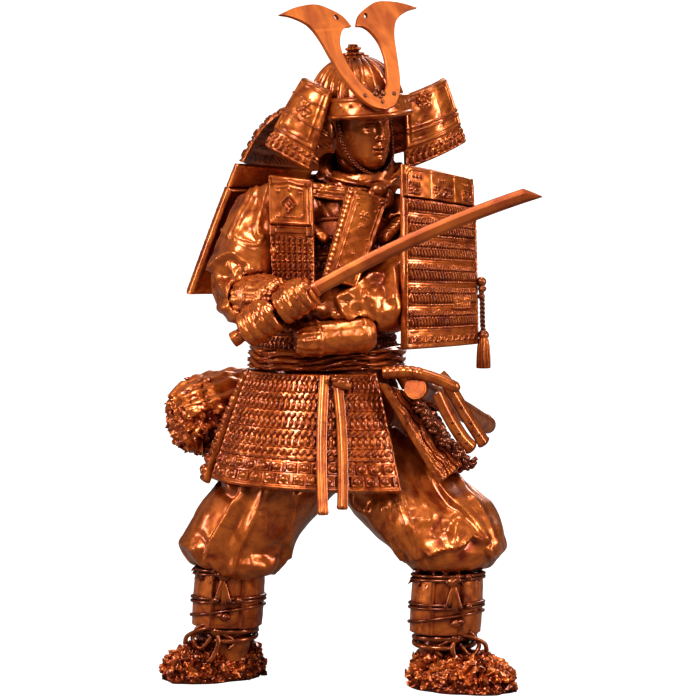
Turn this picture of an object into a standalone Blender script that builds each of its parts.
"""Samurai warrior figure: a standing moulded plastic kit of about 160 mm.

Lengths are in millimetres here and turned into metres when a mesh is made.
x runs to the viewer's right, y away from the viewer and z up.
"""

import math

import bpy
import bmesh
from mathutils import Matrix, Vector

MM = 0.001
CLEARANCE = 0.3

TORSO_YAW = 18.0
HEAD_YAW = 35.0
HEAD_PITCH = 1.5
HEAD_ROLL = -5.0
CREST_LEAN = 20.0
CREST_ROLL = -4.0

ROUND = 18

BOOT_LENGTH = 27.0
BOOT_WIDTH = 17.5
BOOT_HEIGHT = 9.4
FUR_RELIEF = 0.9
BOOT_SEGMENTS = 40
RIGHT_BOOT = (-32.4, 5.0)
LEFT_BOOT = (26.0, -11.0)
RIGHT_TOE_TURN = 217.0
LEFT_TOE_TURN = -30.0

SHIN_RADIUS = 5.7
SHIN_GUARD_THICKNESS = 1.0
TIE_RADIUS = 0.7
RIGHT_ANKLE = (-29.5, 4.0)
RIGHT_KNEE = (-27.6, 0.0)
LEFT_ANKLE = (21.6, -7.5)
LEFT_KNEE = (23.0, -9.5)
KNEE_HEIGHT = 33.0

WAIST = (-5.5, 1.0)
WAIST_HEIGHT = 75.0
DRAWN_WAIST = 75.0
DRAWN_KNEE = 33.0
CUIRASS_TOP = 109.5
CUIRASS_THICKNESS = 1.3
BELT_HEIGHT = 5.2
BELT_THICKNESS = 1.4
BELT_END_WIDTH = 2.3
BELT_END_THICKNESS = 0.9

SKIRT_THICKNESS = 1.6
SKIRT_TOP = DRAWN_WAIST - 1.6
SKIRT_BOTTOM = SKIRT_TOP - 26.0
SKIRT_TOP_RADII = (17.9, 15.2)
SKIRT_BOTTOM_RADII = (27.6, 24.0)

RIGHT_SHOULDER = (-19.0, -1.0, 108.5)
RIGHT_WRIST = (-16.6, -18.4, 91.2)
LEFT_SHOULDER = (12.6, 2.0, 107.0)
LEFT_WRIST = (-11.0, -18.6, 81.6)
SLEEVE_RADIUS = 8.2
FOREARM_RADIUS = 5.2

RIGHT_HAND = (-14.2, -22.4, 90.2)
LEFT_HAND = (-20.4, -20.2, 80.8)
HAND_RADII = (6.0, 4.5, 5.2)

GUARD_POINT = (-8.6, -23.2, 92.9)
POMMEL_POINT = (-26.6, -18.9, 81.6)
BLADE_REACH = 51.6
BLADE_WIDTH = 3.2
BLADE_THICKNESS = 1.2
BLADE_START_SLOPE = 30.0
BLADE_END_SLOPE = 17.5
HILT_RADIUS = 1.6
GUARD_RADIUS = 3.4

SODE_THICKNESS = 1.8
SODE_CAP_SHARE = 0.17
BREAST_PLATE_THICKNESS = 1.4

HEAD_CENTRE = (1.9, 0.0, 130.4)
HEAD_RADII = (7.2, 8.6)
BOWL_RADII = (10.6, 12.2)
BOWL_RISE = 12.6
BOWL_BASE = 3.2
VISOR_REACH = 1.8
VISOR_DROP = 5.0
NECK_GUARD_REACH = 27.5
NECK_GUARD_THICKNESS = 1.0
NECK_GUARD_DROP = 11.5
NECK_GUARD_SAG = 5.5
TURNBACK_THICKNESS = 1.1
CREST_BASE = (5.9, -15.3, 134.2)
CREST_THICKNESS = 1.0
CREST_HEIGHT = 26.0
CREST_HALF_SPAN = 19.6
CREST_FOOT_SHIFT = 2.2

SCABBARD_RADIUS = 2.8
DAGGER_RADIUS = 1.7
QUIVER_RADIUS = 10.6


def clear_scene():
    for obj in list(bpy.data.objects):
        bpy.data.objects.remove(obj, do_unlink=True)


def new_collection(name):
    collection = bpy.data.collections.new(name)
    bpy.context.scene.collection.children.link(collection)
    return collection


def make_material(name, color, roughness, metallic):
    material = bpy.data.materials.new(name)
    material.use_nodes = True
    shader = material.node_tree.nodes["Principled BSDF"]
    shader.inputs["Base Color"].default_value = (*color, 1.0)
    shader.inputs["Roughness"].default_value = roughness
    shader.inputs["Metallic"].default_value = metallic
    material.diffuse_color = (*color, 1.0)
    return material


def add_object(name, points, faces, material, parent):
    """Make a mesh object whose origin is the middle of its own points."""
    middle = sum((Vector(p) for p in points), Vector()) / len(points)
    mesh = bpy.data.meshes.new(name)
    mesh.from_pydata([(Vector(p) - middle) * MM for p in points], [], faces)
    mesh.update()
    work = bmesh.new()
    work.from_mesh(mesh)
    bmesh.ops.recalc_face_normals(work, faces=work.faces)
    work.to_mesh(mesh)
    work.free()
    mesh.materials.append(material)
    obj = bpy.data.objects.new(name, mesh)
    obj.parent = parent
    obj.location = middle * MM
    bpy.data.collections["samurai_figure"].objects.link(obj)
    return obj


def frame(name, location, parent, turn=(0.0, 0.0, 0.0)):
    """Add an empty that carries pieces; turn is roll, pitch and yaw in degrees."""
    empty = bpy.data.objects.new(name, None)
    empty.empty_display_size = 5 * MM
    empty.parent = parent
    roll, pitch, yaw = (math.radians(a) for a in turn)
    spin = Matrix.Rotation(yaw, 4, "Z") @ Matrix.Rotation(roll, 4, "Y") @ Matrix.Rotation(pitch, 4, "X")
    empty.matrix_local = Matrix.Translation(Vector(location) * MM) @ spin
    bpy.data.collections["samurai_figure"].objects.link(empty)
    return empty


def skin(name, rings, material, parent, closed=False):
    """Join rings of equal length into one closed body."""
    count = len(rings[0])
    points = [p for ring in rings for p in ring]
    faces = []
    spans = len(rings) if closed else len(rings) - 1
    for i in range(spans):
        low = i * count
        high = ((i + 1) % len(rings)) * count
        for j in range(count):
            k = (j + 1) % count
            faces.append((low + j, low + k, high + k, high + j))
    if not closed:
        faces.append(tuple(reversed(range(count))))
        faces.append(tuple(range((len(rings) - 1) * count, len(rings) * count)))
    return add_object(name, points, faces, material, parent)


def oval(centre, radii, yaw=0.0, segments=ROUND, square=2.0):
    """Points of a level oval; square above 2 gives fuller corners."""
    ring = []
    for j in range(segments):
        angle = 2 * math.pi * j / segments
        c = math.cos(angle)
        s = math.sin(angle)
        x = radii[0] * math.copysign(abs(c) ** (2 / square), c)
        y = radii[1] * math.copysign(abs(s) ** (2 / square), s)
        turn = math.radians(yaw)
        ring.append(Vector((
            centre[0] + x * math.cos(turn) - y * math.sin(turn),
            centre[1] + x * math.sin(turn) + y * math.cos(turn),
            centre[2],
        )))
    return ring


def stack(name, levels, material, parent, yaw=0.0, segments=ROUND, square=2.0):
    """Body through level ovals, each (x, y, z, radius x, radius y)."""
    rings = [oval(level[:3], level[3:5], yaw, segments, square) for level in levels]
    return skin(name, rings, material, parent)


def spline(points, steps):
    """Smooth path through the points, as vectors of the same length."""
    ends = [tuple(2 * a - b for a, b in zip(points[0], points[1]))]
    ends += [tuple(p) for p in points]
    ends += [tuple(2 * a - b for a, b in zip(points[-1], points[-2]))]
    path = []
    for i in range(1, len(ends) - 2):
        for s in range(steps):
            t = s / steps
            path.append(tuple(
                0.5 * (2 * b + (c - a) * t + (2 * a - 5 * b + 4 * c - d) * t * t
                       + (3 * b - a - 3 * c + d) * t ** 3)
                for a, b, c, d in zip(*ends[i - 1:i + 3])
            ))
    path.append(tuple(points[-1]))
    return path


def limb(name, stations, material, parent, steps=3, segments=14, flat=1.0, rounded=True, grooves=0.0):
    """Body swept along stations (x, y, z, radius); flat squeezes it up and down, grooves cut along it."""
    path = spline(stations, steps)
    centres = [Vector(p[:3]) for p in path]
    radii = [p[3] for p in path]
    if rounded:
        start = (centres[0] - centres[1]).normalized()
        end = (centres[-1] - centres[-2]).normalized()
        centres = [centres[0] + start * radii[0] * 0.4] + centres + [centres[-1] + end * radii[-1] * 0.4]
        radii = [radii[0] * 0.7] + radii + [radii[-1] * 0.7]
    side = None
    rings = []
    for i, centre in enumerate(centres):
        ahead = centres[min(i + 1, len(centres) - 1)]
        behind = centres[max(i - 1, 0)]
        along = (ahead - behind).normalized()
        if side is None:
            guide = Vector((0, 0, 1)) if abs(along.z) < 0.9 else Vector((0, 1, 0))
            side = along.cross(guide).normalized()
        side = (side - along * side.dot(along)).normalized()
        up = side.cross(along)
        ring = []
        for j in range(segments):
            angle = 2 * math.pi * j / segments
            reach = radii[i] - (grooves if j % 3 == 0 else 0.0)
            ring.append(centre + reach * (side * math.cos(angle) + up * (math.sin(angle) * flat)))
        rings.append(ring)
    return skin(name, rings, material, parent)


def loop_cord(name, points, radius, material, parent, steps=4, segments=8):
    """Round cord that runs in a closed loop through the points."""
    count = len(points)
    rings = []
    total = count * steps
    path = []
    for i in range(count):
        a, b, c, d = (Vector(points[(i + k - 1) % count]) for k in range(4))
        for s in range(steps):
            t = s / steps
            path.append(0.5 * (2 * b + (c - a) * t + (2 * a - 5 * b + 4 * c - d) * t * t
                               + (3 * b - a - 3 * c + d) * t ** 3))
    middle = sum(path, Vector()) / total
    for i, centre in enumerate(path):
        along = (path[(i + 1) % total] - path[i - 1]).normalized()
        out = centre - middle
        out = (out - along * out.dot(along)).normalized()
        up = along.cross(out)
        rings.append([
            centre + radius * (out * math.cos(2 * math.pi * j / segments)
                               + up * math.sin(2 * math.pi * j / segments))
            for j in range(segments)
        ])
    return skin(name, rings, material, parent, closed=True)


def sheet(name, surface, across, down, thickness, material, parent, closed=False):
    """Plate of even thickness behind surface(u, v), u and v from 0 to 1."""
    columns = across if closed else across + 1
    points = [surface(i / across, j / down) for j in range(down + 1) for i in range(columns)]
    faces = []
    for j in range(down):
        for i in range(across):
            k = (i + 1) % columns
            faces.append((j * columns + i, j * columns + k, (j + 1) * columns + k, (j + 1) * columns + i))
    obj = add_object(name, points, faces, material, parent)
    solid = obj.modifiers.new("thickness", "SOLIDIFY")
    solid.thickness = thickness * MM
    solid.offset = 0.0
    return obj


def plate(name, outline, thickness, material, parent, bevel=0.0):
    """Flat plate with the outline (x, z), its thickness along y."""
    count = len(outline)
    points = [(x, -thickness / 2, z) for x, z in outline]
    points += [(x, thickness / 2, z) for x, z in outline]
    faces = [tuple(range(count)), tuple(reversed(range(count, 2 * count)))]
    for i in range(count):
        k = (i + 1) % count
        faces.append((i, k, count + k, count + i))
    obj = add_object(name, points, faces, material, parent)
    if bevel:
        edge = obj.modifiers.new("edge", "BEVEL")
        edge.width = bevel * MM
        edge.segments = 1
        edge.limit_method = "ANGLE"
        edge.angle_limit = math.radians(50)
    return obj


def corners(top_left, top_right, bottom_left, bottom_right, bulge):
    """Surface through four corners that bows out by bulge in its middle."""
    tl, tr, bl, br = (Vector(c) for c in (top_left, top_right, bottom_left, bottom_right))
    out = (tr - tl).cross(bl - tl).normalized()

    def surface(u, v):
        flat = tl.lerp(tr, u).lerp(bl.lerp(br, u), v)
        return flat + out * (bulge * (1 - (2 * u - 1) ** 2) * (0.6 + 0.4 * (1 - (2 * v - 1) ** 2)))

    return surface


def largest_body(mesh):
    """Keep the biggest connected body of the mesh."""
    work = bmesh.new()
    work.from_mesh(mesh)
    bmesh.ops.remove_doubles(work, verts=work.verts, dist=0.0000001)
    left = set(work.verts)
    bodies = []
    while left:
        group = {left.pop()}
        edge = list(group)
        while edge:
            vert = edge.pop()
            for link in vert.link_edges:
                other = link.other_vert(vert)
                if other in left:
                    left.discard(other)
                    group.add(other)
                    edge.append(other)
        bodies.append(group)
    keep = max(bodies, key=lambda g: sum(f.calc_area() for f in {f for v in g for f in v.link_faces}))
    drop = [v for v in work.verts if v not in keep]
    bmesh.ops.delete(work, geom=drop, context="VERTS")
    bmesh.ops.dissolve_degenerate(work, edges=work.edges, dist=0.0000001)
    bmesh.ops.triangulate(work, faces=[f for f in work.faces if len(f.verts) > 4])
    work.to_mesh(mesh)
    work.free()


def seat(target, *others, gap=CLEARANCE):
    """Cut the target back so that it clears each of the others by the gap."""
    bpy.context.view_layer.update()
    cutters = []
    for other in others:
        depsgraph = bpy.context.evaluated_depsgraph_get()
        cutter_mesh = bpy.data.meshes.new_from_object(other.evaluated_get(depsgraph))
        cutter = bpy.data.objects.new("clear_" + other.name, cutter_mesh)
        bpy.data.collections["cutters"].objects.link(cutter)
        cutter.matrix_world = other.matrix_world.copy()
        cutter.display_type = "WIRE"
        cutter.hide_render = True
        grow = cutter.modifiers.new("clearance", "DISPLACE")
        grow.strength = gap * MM
        grow.mid_level = 0.0
        cut = target.modifiers.new("clear_" + other.name, "BOOLEAN")
        cut.operation = "DIFFERENCE"
        cut.solver = "EXACT"
        cut.object = cutter
        cutters.append(cutter)
    bpy.context.view_layer.update()
    depsgraph = bpy.context.evaluated_depsgraph_get()
    result = bpy.data.meshes.new_from_object(target.evaluated_get(depsgraph))
    largest_body(result)
    target.modifiers.clear()
    target.data = result
    for cutter in cutters:
        bpy.data.objects.remove(cutter, do_unlink=True)
    return target


def build_boot(side, centre, toe_turn, material, parent):
    """Low shaggy fur boot with a flat sole and tufts in relief; the ankle sits behind its middle."""
    levels = ((0.0, 0.93, 0.0), (0.12, 1.0, 0.0), (0.26, 0.96, 0.0), (0.4, 1.0, 0.0), (0.54, 0.92, -0.02),
              (0.68, 0.9, -0.03), (0.8, 0.76, -0.05), (0.9, 0.68, -0.06), (1.0, 0.45, -0.09))
    turn = math.radians(toe_turn)
    rings = []
    for row, (share, grow, back) in enumerate(levels):
        height = BOOT_HEIGHT * share
        ring = []
        sole = oval((0, 0, height), (BOOT_LENGTH / 2 * grow, BOOT_WIDTH / 2 * grow), 0.0, BOOT_SEGMENTS, 2.3)
        for step, p in enumerate(sole):
            angle = math.atan2(p.y, p.x)
            tuft = 1 + 0.03 * math.sin(7 * angle + height) + 0.02 * math.sin(11 * angle - 2 * height)
            raised = (step + 2 * row) % 4 < 2
            lock = 0.0
            if 0 < row < len(levels) - 1:
                lock = FUR_RELIEF / 2 if raised else -FUR_RELIEF / 2
            away = Vector((p.x, p.y)).normalized() * lock
            x = p.x * tuft + away.x + BOOT_LENGTH * back
            y = (p.y * tuft + away.y) * (1 - 0.12 * p.x / BOOT_LENGTH)
            ring.append(Vector((
                centre[0] + x * math.cos(turn) - y * math.sin(turn),
                centre[1] + x * math.sin(turn) + y * math.cos(turn),
                height,
            )))
        rings.append(ring)
    return skin("boot_" + side, rings, material, parent)


def build_leg(side, ankle, knee, parent, mats):
    """Shin with its guard plate and ankle tie."""
    low = BOOT_HEIGHT * 0.5
    heights = (low, low + 6.5, low + 14, KNEE_HEIGHT - 5, KNEE_HEIGHT)
    stations = []
    for z in heights:
        t = (z - low) / (KNEE_HEIGHT - low)
        swell = 1 + 0.12 * math.sin(math.pi * t)
        stations.append((ankle[0] + (knee[0] - ankle[0]) * t, ankle[1] + (knee[1] - ankle[1]) * t,
                         z, SHIN_RADIUS * swell))
    leg = limb("lower_leg_" + side, stations, mats["cloth"], parent, steps=2)

    def guard_surface(u, v):
        angle = math.radians(-90 + 85 * (2 * u - 1))
        t = 0.3 + 0.46 * (1 - v)
        z = low + (KNEE_HEIGHT - low) * t
        radius = SHIN_RADIUS * (1 + 0.12 * math.sin(math.pi * t)) + CLEARANCE + SHIN_GUARD_THICKNESS / 2 + 0.1
        bow = 0.6 * (1 - (2 * u - 1) ** 2)
        return Vector((ankle[0] + (knee[0] - ankle[0]) * t + radius * math.cos(angle),
                       ankle[1] + (knee[1] - ankle[1]) * t + (radius + bow) * math.sin(angle), z))

    guard = sheet("shin_guard_" + side, guard_surface, 10, 3, SHIN_GUARD_THICKNESS, mats["armour"], parent)
    tie_height = BOOT_HEIGHT + TIE_RADIUS + CLEARANCE + 0.4
    share = (tie_height - low) / (KNEE_HEIGHT - low)
    tie_reach = SHIN_RADIUS * (1 + 0.12 * math.sin(math.pi * share)) + TIE_RADIUS + CLEARANCE + 0.1
    middle = (ankle[0] + (knee[0] - ankle[0]) * share, ankle[1] + (knee[1] - ankle[1]) * share)
    ring = [(middle[0] + tie_reach * math.cos(a), middle[1] + tie_reach * math.sin(a), tie_height)
            for a in (2 * math.pi * i / 8 for i in range(8))]
    tie = loop_cord("ankle_tie_" + side, ring, TIE_RADIUS, mats["cord"], parent, steps=2, segments=6)
    return leg, guard, tie


def build_legs(parent, mats):
    pieces = {}
    for side, centre, turn, ankle, knee in (
            ("right", RIGHT_BOOT, RIGHT_TOE_TURN, RIGHT_ANKLE, RIGHT_KNEE),
            ("left", LEFT_BOOT, LEFT_TOE_TURN, LEFT_ANKLE, LEFT_KNEE)):
        boot = build_boot(side, centre, turn, mats["fur"], parent)
        leg, guard, tie = build_leg(side, ankle, knee, parent, mats)
        seat(boot, leg)
        pieces["boot_" + side] = boot
        pieces["lower_leg_" + side] = leg
        pieces["shin_guard_" + side] = guard
    return pieces


def leg_height(drawn):
    """Height of a trouser level: it keeps its place between the knee and the waist."""
    if drawn < DRAWN_KNEE:
        return KNEE_HEIGHT + drawn - DRAWN_KNEE
    share = (drawn - DRAWN_KNEE) / (DRAWN_WAIST - DRAWN_KNEE)
    return KNEE_HEIGHT + (WAIST_HEIGHT - KNEE_HEIGHT) * share


def build_trousers(pieces, parent, mats):
    """Wide gathered trouser legs that hang in bags over the shins."""
    right_levels = (
        (-9.5, 1.0, 57.0, 11.0, 10.5), (-11.0, 1.0, 54.0, 12.6, 11.6), (-14.5, 0.5, 49.0, 14.8, 12.6),
        (-19.6, 0.0, 43.0, 14.8, 12.4), (-23.8, -0.5, 37.5, 13.8, 12.0), (-27.0, -0.5, 32.6, 13.2, 11.6),
        (-26.4, -1.0, 28.6, 10.8, 10.0), (-24.8, -1.2, 26.0, 7.6, 7.6))
    left_levels = (
        (0.5, 1.0, 60.0, 10.4, 10.0), (3.5, 0.5, 54.0, 12.6, 11.6), (9.0, -1.0, 49.0, 15.4, 12.8),
        (15.6, -3.4, 43.0, 17.0, 13.2), (19.6, -6.0, 37.5, 16.0, 13.0), (22.8, -8.0, 32.6, 13.4, 11.8),
        (22.6, -8.6, 29.6, 10.4, 10.2), (22.4, -8.8, 28.0, 8.2, 8.6))
    right, left = (
        stack(name, [(x, y, leg_height(z), a, b) for x, y, z, a, b in levels], mats["cloth"], parent,
              segments=20)
        for name, levels in (("trouser_right", right_levels), ("trouser_left", left_levels)))
    seat(right, pieces["lower_leg_right"], pieces["shin_guard_right"])
    seat(left, pieces["lower_leg_left"], pieces["shin_guard_left"], right)
    pieces["trouser_right"] = right
    pieces["trouser_left"] = left


TORSO_PROFILE = (
    (50.0, 10.5, 9.0, 1.2), (56.0, 15.0, 12.4, 0.8), (64.0, 15.8, 13.0, 0.6), (70.0, 14.8, 12.0, 0.2),
    (75.0, 14.2, 11.4, 0.0), (84.0, 13.9, 11.1, 0.6), (95.0, 13.4, 10.6, 1.6), (104.0, 12.4, 9.8, 2.6),
    (110.0, 11.4, 8.4, 3.4), (114.0, 9.8, 6.8, 4.4), (117.4, 6.4, 5.2, 5.2),
)


def torso_at(height):
    """Radii and centre of the torso at a height."""
    for low, high in zip(TORSO_PROFILE, TORSO_PROFILE[1:]):
        if height <= high[0]:
            t = max(0.0, (height - low[0]) / (high[0] - low[0]))
            a, b, shift = (low[i] + (high[i] - low[i]) * t for i in (1, 2, 3))
            return a, b, (WAIST[0] + shift, WAIST[1] - 0.25 * shift)
    a, b, shift = TORSO_PROFILE[-1][1:]
    return a, b, (WAIST[0] + shift, WAIST[1] - 0.25 * shift)


def around_torso(angle, height, out):
    """Point at an angle from the front, positive to the figure's left."""
    a, b, centre = torso_at(height)
    x = (a + out) * math.sin(angle)
    y = -(b + out) * math.cos(angle)
    turn = math.radians(TORSO_YAW)
    return Vector((centre[0] + x * math.cos(turn) - y * math.sin(turn),
                   centre[1] + x * math.sin(turn) + y * math.cos(turn), height))


def build_torso(pieces, parent, mats):
    levels = []
    for height, a, b, _ in TORSO_PROFILE:
        centre = torso_at(height)[2]
        levels.append((centre[0], centre[1], height, a, b))
    torso = stack("torso", levels, mats["cloth"], parent, yaw=TORSO_YAW, segments=24)
    seat(torso, pieces["trouser_right"], pieces["trouser_left"])

    def cuirass_surface(u, v):
        angle = 2 * math.pi * u
        dip = abs(math.sin(angle)) ** 6
        top = CUIRASS_TOP - 11.0 * dip
        height = top + (DRAWN_WAIST - top) * v
        return around_torso(angle, height, CLEARANCE + 0.3 + CUIRASS_THICKNESS / 2)

    cuirass = sheet("cuirass", cuirass_surface, 24, 5, CUIRASS_THICKNESS, mats["armour"], parent, closed=True)

    def belt_surface(u, v):
        reach = 2 * CLEARANCE + 0.5 + CUIRASS_THICKNESS + BELT_THICKNESS / 2
        swell = 0.5 * math.sin(math.pi * v)
        return around_torso(2 * math.pi * u, DRAWN_WAIST + BELT_HEIGHT * (0.8 - v), reach + swell)

    belt = sheet("belt", belt_surface, 24, 2, BELT_THICKNESS, mats["cloth"], parent, closed=True)

    def collar_surface(u, v):
        angle = 2 * math.pi * u
        back = 0.5 - 0.5 * math.cos(angle)
        height = 117.6 - 3.4 * v + 1.8 * back - 1.6 * (1 - back)
        spot = around_torso(angle, 116.0, 1.6 + 1.1 * v)
        return Vector((spot.x, spot.y - 0.6, height))

    collar = sheet("collar", collar_surface, 18, 2, 1.5, mats["cloth"], parent, closed=True)
    seat(collar, torso)
    pieces.update(torso=torso, cuirass=cuirass, belt=belt, collar=collar)
    for side, sign in (("right", -1), ("left", 1)):
        path = []
        for share, height, out in ((0.36, 104.5, 2.8), (0.42, 109.0, 2.6), (0.5, 113.4, 3.0),
                                   (0.58, 109.0, 2.6), (0.64, 104.5, 2.8)):
            angle = sign * math.pi * (0.14 + 0.72 * (share - 0.36) / 0.28)
            point = around_torso(angle, height, out + CUIRASS_THICKNESS)
            path.append((point.x, point.y, point.z, 1.9))
        strap = limb("shoulder_strap_" + side, path, mats["armour"], parent, steps=2, segments=8, flat=0.6)
        seat(strap, torso, cuirass, collar)
        pieces["shoulder_strap_" + side] = strap


def skirt_panel(name, start, end, flare, lean, short, parent, mats):
    """Curved laced panel hung from the belt between two angles from the front."""
    def surface(u, v):
        angle = math.radians(start + (end - start) * u)
        share = v ** 0.9
        rx = SKIRT_TOP_RADII[0] + (SKIRT_BOTTOM_RADII[0] + flare - SKIRT_TOP_RADII[0]) * share
        ry = SKIRT_TOP_RADII[1] + (SKIRT_BOTTOM_RADII[1] + flare - SKIRT_TOP_RADII[1]) * share
        height = SKIRT_TOP + (SKIRT_BOTTOM + short - SKIRT_TOP) * v + lean * (1.0 - 2.0 * u) * v
        return Vector((WAIST[0] + rx * math.sin(angle), WAIST[1] - ry * math.cos(angle), height))

    return sheet(name, surface, max(6, int(abs(end - start) / 9)), 6, SKIRT_THICKNESS, mats["armour"], parent)


def build_skirts(pieces, parent, mats):
    pieces["skirt_front"] = skirt_panel("skirt_front", -70, 38, 0.0, 1.0, 0.0, parent, mats)
    pieces["skirt_left"] = skirt_panel("skirt_left", 64, 122, 4.2, 0.0, 2.6, parent, mats)
    pieces["skirt_back"] = skirt_panel("skirt_back", 126, 214, 0.0, 0.0, 0.0, parent, mats)
    pieces["skirt_right"] = skirt_panel("skirt_right", -142, -74, 1.2, 0.0, 0.0, parent, mats)
    for name, angle, foot in (("belt_end_long", -1.0, 42.4), ("belt_end_short", 7.0, 43.6)):
        top = DRAWN_WAIST - BELT_HEIGHT * 0.2 - CLEARANCE - 0.2

        def surface(u, v, angle=angle, foot=foot, top=top):
            height = top + (foot - top) * v
            share = min(1.25, max(0.0, (SKIRT_TOP - height) / (SKIRT_TOP - SKIRT_BOTTOM))) ** 0.9
            ry = SKIRT_TOP_RADII[1] + (SKIRT_BOTTOM_RADII[1] - SKIRT_TOP_RADII[1]) * share
            rx = SKIRT_TOP_RADII[0] + (SKIRT_BOTTOM_RADII[0] - SKIRT_TOP_RADII[0]) * share
            out = SKIRT_THICKNESS / 2 + 2 * CLEARANCE + BELT_END_THICKNESS / 2
            turn = math.radians(angle)
            return Vector((WAIST[0] + (rx + out) * math.sin(turn) + BELT_END_WIDTH * (u - 0.5),
                           WAIST[1] - (ry + out) * math.cos(turn), height))

        pieces[name] = sheet(name, surface, 2, 9, BELT_END_THICKNESS, mats["cord"], parent)


def hand_body(name, centre, radii, material, parent):
    levels = []
    for share, grow in ((-1.0, 0.45), (-0.75, 0.78), (-0.3, 1.0), (0.3, 1.0), (0.75, 0.78), (1.0, 0.45)):
        levels.append((centre[0], centre[1], centre[2] + radii[2] * share, radii[0] * grow, radii[1] * grow))
    return stack(name, levels, material, parent, segments=14, square=2.4)


def build_arms(pieces, parent, mats):
    r = SLEEVE_RADIUS
    x, y, z = RIGHT_SHOULDER
    sleeve_right = stack("sleeve_right", (
        (x, y, z + 7.6, r * 0.42, r * 0.4), (x, y, z + 5.6, r * 0.8, r * 0.76),
        (x - 0.6, y - 0.4, z + 1.5, r * 1.02, r * 0.98), (x - 2.4, y - 1.2, z - 4.5, r * 1.07, r * 1.04),
        (x - 4.2, y - 3.0, z - 10.5, r * 1.1, r * 1.1), (x - 4.4, y - 5.0, z - 16.5, r * 1.06, r * 1.16),
        (x - 3.6, y - 6.4, z - 21.0, r * 0.92, r * 1.08), (x - 2.6, y - 7.0, z - 23.7, r * 0.6, r * 0.78)),
        mats["cloth"], parent, segments=18)
    x, y, z = LEFT_SHOULDER
    sleeve_left = stack("sleeve_left", (
        (x - 0.2, y, z + 7.4, r * 0.4, r * 0.38), (x - 0.2, y, z + 5.6, r * 0.78, r * 0.74),
        (x + 0.4, y - 0.4, z + 1.0, r * 0.96, r * 0.94), (x + 1.4, y - 2.8, z - 6.0, r * 1.02, r * 1.06),
        (x - 1.4, y - 6.4, z - 11.0, r * 1.3, r * 1.24), (x - 6.4, y - 10.0, z - 15.5, r * 1.72, r * 1.26),
        (x - 9.2, y - 11.8, z - 19.0, r * 1.76, r * 1.16), (x - 9.8, y - 12.6, z - 22.0, r * 1.54, r * 0.96),
        (x - 10.0, y - 12.8, z - 23.8, r * 1.1, r * 0.66)), mats["cloth"], parent, segments=18)
    f = FOREARM_RADIUS
    x, y, z = RIGHT_WRIST
    forearm_right = limb("forearm_right", (
        (x - 6.6, y + 8.0, z - 0.4, f * 1.1), (x - 3.0, y + 4.0, z - 0.2, f * 1.04), (x, y, z, f * 0.9)),
        mats["armour"], parent, steps=3)
    x, y, z = LEFT_WRIST
    forearm_left = limb("forearm_left", (
        (x + 15.0, y + 2.6, z + 1.4, f * 0.84), (x + 8.0, y + 1.4, z + 0.6, f * 0.82), (x, y, z, f * 0.74)),
        mats["armour"], parent, steps=3)
    hand_right = hand_body("hand_right", RIGHT_HAND, HAND_RADII, mats["skin"], parent)
    wide = (HAND_RADII[0] * 1.2, HAND_RADII[1], HAND_RADII[2])
    hand_left = hand_body("hand_left", LEFT_HAND, wide, mats["skin"], parent)
    pieces.update(sleeve_right=sleeve_right, sleeve_left=sleeve_left, forearm_right=forearm_right,
                  forearm_left=forearm_left, hand_right=hand_right, hand_left=hand_left)


def blade_path(share):
    """Point and direction along the curved blade, share from 0 to 1."""
    run = BLADE_REACH * share
    start = math.tan(math.radians(BLADE_START_SLOPE))
    end = math.tan(math.radians(BLADE_END_SLOPE))
    fall = (start - end) / (2 * BLADE_REACH)
    point = Vector((GUARD_POINT[0] + run, GUARD_POINT[1] - 0.095 * run, GUARD_POINT[2] + start * run - fall * run * run))
    slope = Vector((1.0, -0.095, start - 2 * fall * run)).normalized()
    return point, slope


def build_sword(pieces, parent, mats):
    rings = []
    for share in (0.016, 0.2, 0.4, 0.6, 0.8, 0.93, 0.97, 0.995):
        point, along = blade_path(share)
        back = Vector((-along.z, 0, along.x)).normalized()
        flat = along.cross(back).normalized()
        narrow = min(1.0, (1.0 - share) / 0.07) if share > 0.9 else 1.0
        half = BLADE_WIDTH / 2
        drop = back * (-(1.0 - narrow) * half * 0.6)
        wide = half * max(0.12, narrow)
        thick = BLADE_THICKNESS / 2 * max(0.25, narrow ** 0.5)
        rings.append([point + drop - back * wide, point + drop + flat * thick - back * 0.1,
                      point + drop + back * wide, point + drop - flat * thick - back * 0.1])
    blade = skin("sword_blade", rings, mats["blade"], parent)
    guard_at, along = blade_path(0.0)
    back = Vector((-along.z, 0, along.x)).normalized()
    flat = along.cross(back).normalized()

    def disc(offset, radius):
        return [guard_at + along * offset + radius * (back * math.cos(2 * math.pi * j / 16)
                                                      + flat * math.sin(2 * math.pi * j / 16)) for j in range(16)]

    guard = skin("sword_guard", [disc(-0.5, GUARD_RADIUS * 0.93), disc(-0.3, GUARD_RADIUS),
                                 disc(0.3, GUARD_RADIUS), disc(0.5, GUARD_RADIUS * 0.93)], mats["blade"], parent)
    pommel = Vector(POMMEL_POINT)
    top = guard_at - along * (0.5 + CLEARANCE)
    line = top - pommel
    stations = [(*(pommel + line * t), HILT_RADIUS * g) for t, g in ((0.0, 1.05), (0.3, 0.95), (0.65, 1.0), (1.0, 1.1))]
    hilt = limb("sword_hilt", stations, mats["cord"], parent, steps=2, segments=12, rounded=False)
    pieces.update(sword_blade=blade, sword_guard=guard, sword_hilt=hilt)
    seat(pieces["forearm_right"], hilt)
    seat(pieces["forearm_left"], pieces["forearm_right"], hilt)
    seat(pieces["hand_right"], hilt, guard, pieces["forearm_right"])
    seat(pieces["hand_left"], hilt, pieces["hand_right"], pieces["forearm_left"], pieces["forearm_right"])


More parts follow.
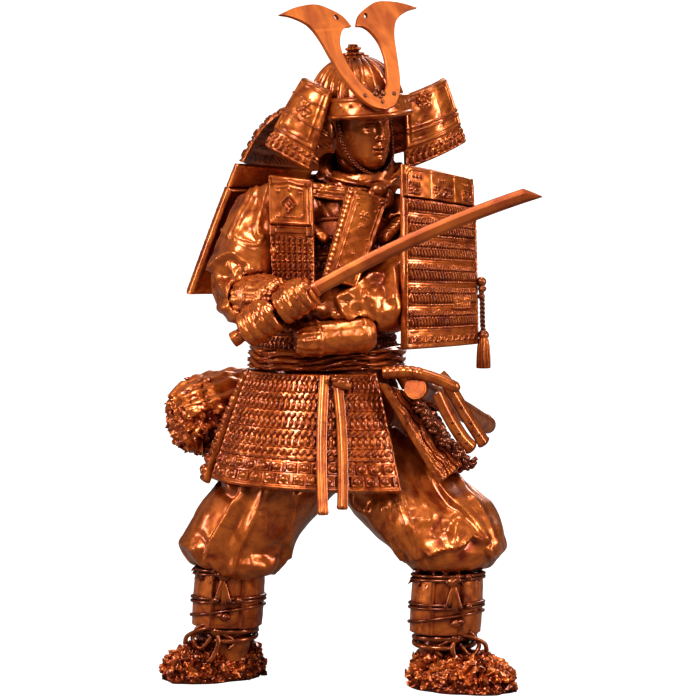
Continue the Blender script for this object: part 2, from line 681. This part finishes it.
def build_breast_plates(pieces, parent, mats):
    right = corners((-18.4, -10.4, 119.0), (-8.4, -14.4, 118.0), (-17.4, -12.6, 92.4), (-7.8, -16.0, 92.8), -0.9)
    left = corners((-0.6, -13.8, 116.6), (8.6, -11.4, 113.4), (-6.6, -15.8, 95.4), (1.4, -15.0, 93.0), -0.5)
    pieces["breast_plate_right"] = sheet("breast_plate_right", right, 6, 6, BREAST_PLATE_THICKNESS,
                                         mats["armour"], parent)
    pieces["breast_plate_left"] = sheet("breast_plate_left", left, 4, 6, BREAST_PLATE_THICKNESS,
                                        mats["armour"], parent)


def build_shoulder_boards(pieces, parent, mats):
    """Large laced shoulder boards, each with a plain cap plate above."""
    boards = {
        "left": ((11.6, -16.4, 121.6), (28.0, 0.2, 118.0), (11.8, -17.2, 79.2), (29.0, -0.8, 79.4), -1.5),
        "right": ((-8.8, 10.6, 119.8), (-26.6, 3.2, 121.4), (-20.0, 13.0, 90.0), (-38.0, 4.2, 90.8), -1.2),
    }
    for side, spec in boards.items():
        whole = corners(*spec)
        slot = CLEARANCE / (spec[0][2] - spec[2][2])

        def cap(u, v, whole=whole):
            return whole(u, v * SODE_CAP_SHARE)

        def board(u, v, whole=whole, slot=slot):
            return whole(u, SODE_CAP_SHARE + slot + v * (1 - SODE_CAP_SHARE - slot))

        pieces["shoulder_cap_" + side] = sheet("shoulder_cap_" + side, cap, 7, 2, SODE_THICKNESS,
                                               mats["armour"], parent)
        pieces["shoulder_board_" + side] = sheet("shoulder_board_" + side, board, 7, 6, SODE_THICKNESS,
                                                 mats["armour"], parent)
    cord = limb("shoulder_tassel", (
        (30.4, -1.4, 95.2, 1.2), (30.8, -1.8, 92.0, 1.5), (30.7, -1.8, 89.4, 0.8), (30.9, -2.0, 84.0, 0.8),
        (31.0, -2.0, 82.0, 1.2), (31.1, -2.0, 78.0, 1.5), (31.1, -2.0, 74.4, 1.5)), mats["cord"], parent,
        steps=2, segments=10)
    seat(cord, pieces["shoulder_board_left"])
    pieces["shoulder_tassel"] = cord


def build_head(pieces, head, parent, mats):
    """Plain egg-shaped head, helmet and its fittings, in the frame of the head."""
    a, b = HEAD_RADII
    levels = (
        (0, 2.2, -15.0, 4.4, 4.6), (0, 1.8, -12.0, 4.5, 5.0), (0, -0.6, -10.4, 4.4, 7.0), (0, -0.6, -8.4, 5.6, 8.2),
        (0, -0.3, -5.0, a * 0.93, b * 0.98), (0, 0, -1.0, a, b), (0, 0.2, 3.0, a * 0.99, b),
        (0, 0.4, 6.5, a * 0.86, b * 0.88), (0, 0.5, 9.0, a * 0.6, b * 0.62), (0, 0.5, 10.4, a * 0.3, b * 0.3))
    skull = stack("head", levels, mats["skin"], head, segments=18)
    seat(skull, pieces["torso"], pieces["collar"])
    dome = [(0, 0.3, BOWL_BASE, BOWL_RADII[0], BOWL_RADII[1])]
    for turn in (14, 28, 42, 56, 69, 80):
        t = math.radians(turn)
        dome.append((0, 0.3, BOWL_BASE + BOWL_RISE * math.sin(t), BOWL_RADII[0] * math.cos(t) ** 0.9,
                     BOWL_RADII[1] * math.cos(t) ** 0.9))
    bowl = stack("helmet_bowl", dome, mats["armour"], head, segments=24)
    seat(bowl, skull)
    finial = stack("helmet_finial", (
        (0, 0.3, BOWL_BASE + BOWL_RISE * 0.985 + CLEARANCE, 1.9, 1.9), (0, 0.3, BOWL_BASE + BOWL_RISE + 0.9, 1.6, 1.6),
        (0, 0.3, BOWL_BASE + BOWL_RISE + 1.6, 1.3, 1.3), (0, 0.3, BOWL_BASE + BOWL_RISE + 2.4, 1.7, 1.7),
        (0, 0.3, BOWL_BASE + BOWL_RISE + 2.9, 1.2, 1.2)), mats["armour"], head, segments=12)
    seat(finial, bowl)

    def rim(angle, out, height):
        return Vector(((BOWL_RADII[0] + out) * math.sin(angle), 0.3 - (BOWL_RADII[1] + out) * math.cos(angle), height))

    def visor_surface(u, v):
        angle = math.radians(-70 + 118 * u)
        ease = math.sin(math.pi * min(1.0, max(0.0, u))) ** 0.7
        out = CLEARANCE + 0.45 + (0.4 + (VISOR_REACH - 0.4) * ease) * v
        return rim(angle, out, BOWL_BASE + 4.0 - VISOR_DROP * v)

    visor = sheet("visor", visor_surface, 16, 3, 0.9, mats["armour"], head)

    def guard_surface(u, v):
        angle = math.radians(88 + 159 * u)
        reach = (NECK_GUARD_REACH - BOWL_RADII[1]) * v
        drop = NECK_GUARD_DROP + NECK_GUARD_SAG * math.sin(math.pi * min(1.0, max(0.0, u))) ** 2
        return rim(angle, CLEARANCE + 0.6 + reach, BOWL_BASE + 1.4 - drop * v ** 2.6)

    neck = sheet("neck_guard", guard_surface, 16, 6, NECK_GUARD_THICKNESS, mats["armour"], head)
    chin = [(sx, sy, sz, 0.75) for sx, sy, sz in (
        (-7.9, -2.2, 1.4), (-7.6, -3.4, -3.5), (-6.0, -5.4, -8.2), (0, -7.0, -11.6),
        (6.0, -5.4, -8.2), (7.6, -3.4, -3.5), (7.9, -2.2, 1.4))]
    cord = limb("chin_cord", chin, mats["cord"], head, steps=2, segments=6)
    seat(cord, skull, pieces["collar"])
    pieces.update(head=skull, helmet_bowl=bowl, helmet_finial=finial, visor=visor, neck_guard=neck, chin_cord=cord)

    turn_right = corners((-10.2, -5.8, 141.2), (-3.8, -10.8, 138.0), (-19.4, -6.6, 125.4), (-9.4, -11.8, 119.8), -2.2)
    turn_left = corners((12.2, 2.6, 137.2), (21.8, 9.0, 141.4), (12.6, 2.0, 119.8), (27.0, 10.4, 126.2), -2.6)
    for side, surface in (("right", turn_right), ("left", turn_left)):
        turnback = sheet("turnback_" + side, surface, 7, 7, TURNBACK_THICKNESS, mats["armour"], parent)
        seat(turnback, bowl)
        pieces["turnback_" + side] = turnback
    seat(neck, pieces["turnback_right"], pieces["turnback_left"])
    seat(visor, bowl)


CREST_OUTLINE = (
    (0.0, -0.02), (0.2, 0.02), (0.36, 0.14), (0.45, 0.29), (0.51, 0.48), (0.56, 0.67), (0.65, 0.81),
    (0.83, 0.89), (1.0, 0.92), (0.74, 0.98), (0.46, 1.0), (0.27, 0.95), (0.12, 0.875), (0.035, 0.775),
    (0.135, 0.765), (0.22, 0.715), (0.295, 0.61), (0.31, 0.47), (0.265, 0.33), (0.2, 0.215), (0.09, 0.135),
    (0.0, 0.115),
)


def build_crest(pieces, parent, mats):
    """Hoe-shaped horns on a small holder above the visor."""
    crest = frame("crest_frame", CREST_BASE, parent, (0.0, -CREST_LEAN, HEAD_YAW))
    crest.matrix_local = (Matrix.Translation(Vector(CREST_BASE) * MM)
                          @ Matrix.Rotation(math.radians(CREST_ROLL), 4, "Y")
                          @ Matrix.Rotation(math.radians(HEAD_YAW), 4, "Z")
                          @ Matrix.Rotation(math.radians(-CREST_LEAN), 4, "X"))
    drawn = list(CREST_OUTLINE) + [(-x, z) for x, z in reversed(CREST_OUTLINE[1:-1])]
    outline = [(CREST_HALF_SPAN * x * (1 - 0.16 * (1 - z)) + CREST_FOOT_SHIFT * (1 - z) ** 2, CREST_HEIGHT * z)
               for x, z in drawn]
    horns = plate("crest_horns", outline, CREST_THICKNESS, mats["armour"], crest)
    mount = ((-2.4, -0.2), (2.4, -0.2), (2.0, 2.6), (0.8, 4.2), (-0.8, 4.2), (-2.0, 2.6))
    holder = plate("crest_holder", [(x + CREST_FOOT_SHIFT * 0.6, z) for x, z in mount], 1.2, mats["armour"],
                   crest, bevel=0.25)
    holder.location.y += (CREST_THICKNESS / 2 + 0.6 + CLEARANCE) * MM
    seat(horns, pieces["visor"], pieces["helmet_bowl"])
    seat(holder, pieces["visor"], pieces["helmet_bowl"])
    pieces.update(crest_horns=horns, crest_holder=holder)


def build_hip_arms(pieces, parent, mats):
    """Scabbard and dagger at the left hip, quiver at the right."""
    scabbard = limb("scabbard", (
        (14.9, -18.0, 70.6, SCABBARD_RADIUS), (19.6, -4.0, 67.4, SCABBARD_RADIUS * 0.96),
        (25.4, 12.0, 63.4, SCABBARD_RADIUS * 0.9), (34.0, 34.0, 57.0, SCABBARD_RADIUS * 0.78)),
        mats["armour"], parent, steps=3, segments=14)
    dagger = limb("dagger", (
        (7.6, -16.6, 74.0, DAGGER_RADIUS), (14.0, -17.8, 74.2, DAGGER_RADIUS), (25.4, -19.4, 70.2, DAGGER_RADIUS * 0.9)),
        mats["armour"], parent, steps=3, segments=12)
    seat(scabbard, pieces["skirt_left"], pieces["skirt_front"], pieces["belt"])
    seat(dagger, pieces["skirt_front"], pieces["skirt_left"], pieces["belt"], scabbard)
    line = spline(((-38.0, 11.0, 60.8, QUIVER_RADIUS * 0.86), (-33.0, 14.0, 61.4, QUIVER_RADIUS),
                   (-26.0, 19.0, 62.2, QUIVER_RADIUS), (-18.0, 24.6, 63.0, QUIVER_RADIUS * 0.9)), 3)
    tufted = [(x, y, z, r - FUR_RELIEF * (0.8 if i % 2 else 0.0)) for i, (x, y, z, r) in enumerate(line)]
    quiver = limb("quiver", tufted, mats["fur"], parent, steps=1, segments=24, grooves=FUR_RELIEF)
    seat(quiver, pieces["skirt_right"], pieces["skirt_back"])
    pieces.update(scabbard=scabbard, dagger=dagger, quiver=quiver)


def build_back_bow(pieces, parent, mats):
    """Knotted bow with two tassels on the back of the cuirass, where the photograph doesn't look."""
    spot = around_torso(math.pi, 104.0, CLEARANCE * 2 + CUIRASS_THICKNESS + 1.2)
    path = [(spot.x + dx, spot.y + abs(dx) * 0.05, spot.z + dz, 1.1) for dx, dz in (
        (-5.6, -16.0), (-4.4, -8.0), (-1.2, -1.4), (-5.0, 3.2), (-3.4, 5.6), (0.0, 2.4),
        (3.4, 5.6), (5.0, 3.2), (1.2, -1.4), (4.4, -8.0), (5.6, -16.0))]
    bow = limb("back_bow", path, mats["cord"], parent, steps=2, segments=7)
    seat(bow, pieces["cuirass"])
    pieces["back_bow"] = bow


def fit_neighbours(pieces):
    """Cut soft-looking pieces back where harder ones lie against them."""
    p = pieces
    seat(p["forearm_right"], p["breast_plate_right"])
    seat(p["forearm_left"], p["cuirass"], p["belt"])
    seat(p["shoulder_strap_right"], p["breast_plate_right"], p["breast_plate_left"], p["shoulder_board_right"],
         p["shoulder_cap_right"])
    seat(p["shoulder_strap_left"], p["breast_plate_left"])
    seat(p["trouser_left"], p["skirt_left"], p["skirt_front"])
    seat(p["trouser_right"], p["skirt_right"], p["skirt_front"])
    seat(p["visor"], p["turnback_right"], p["turnback_left"])
    seat(p["sleeve_right"], p["torso"], p["cuirass"], p["shoulder_strap_right"], p["breast_plate_right"],
         p["forearm_right"], p["shoulder_board_right"], p["shoulder_cap_right"], p["collar"], p["belt"])
    seat(p["sleeve_left"], p["torso"], p["cuirass"], p["shoulder_strap_left"], p["breast_plate_left"],
         p["forearm_left"], p["shoulder_board_left"], p["shoulder_cap_left"], p["collar"], p["belt"])
    seat(p["hand_left"], p["sleeve_left"])


def centre_on_floor(root):
    """Move the root so that the figure stands centred on the origin."""
    bpy.context.view_layer.update()
    depsgraph = bpy.context.evaluated_depsgraph_get()
    spots = []
    for obj in bpy.data.collections["samurai_figure"].objects:
        if obj.type == "MESH":
            ready = obj.evaluated_get(depsgraph)
            spots += [ready.matrix_world @ v.co for v in ready.data.vertices]
    low = [min(p[i] for p in spots) for i in range(3)]
    high = [max(p[i] for p in spots) for i in range(3)]
    root.location = (-(low[0] + high[0]) / 2, -(low[1] + high[1]) / 2, -low[2])
    bpy.context.view_layer.update()


def main():
    clear_scene()
    new_collection("samurai_figure")
    new_collection("cutters")
    mats = {
        "cloth": make_material("plastic_cloth", (0.46, 0.13, 0.03), 0.34, 0.35),
        "armour": make_material("plastic_armour", (0.55, 0.17, 0.04), 0.28, 0.45),
        "fur": make_material("plastic_fur", (0.42, 0.11, 0.025), 0.38, 0.35),
        "cord": make_material("plastic_cord", (0.52, 0.16, 0.04), 0.32, 0.4),
        "skin": make_material("plastic_skin", (0.44, 0.12, 0.03), 0.3, 0.35),
        "blade": make_material("plastic_blade", (0.62, 0.22, 0.06), 0.25, 0.5),
    }
    root = frame("figure_root", (0, 0, 0), None)
    upper = frame("upper_body", (0, 0, WAIST_HEIGHT - DRAWN_WAIST), root)
    head = frame("head_frame", HEAD_CENTRE, upper, (HEAD_ROLL, HEAD_PITCH, HEAD_YAW))
    pieces = build_legs(root, mats)
    build_trousers(pieces, root, mats)
    build_torso(pieces, upper, mats)
    build_skirts(pieces, upper, mats)
    build_arms(pieces, upper, mats)
    build_sword(pieces, upper, mats)
    build_breast_plates(pieces, upper, mats)
    build_shoulder_boards(pieces, upper, mats)
    build_head(pieces, head, upper, mats)
    build_crest(pieces, upper, mats)
    build_hip_arms(pieces, upper, mats)
    build_back_bow(pieces, upper, mats)
    fit_neighbours(pieces)
    centre_on_floor(root)


main()
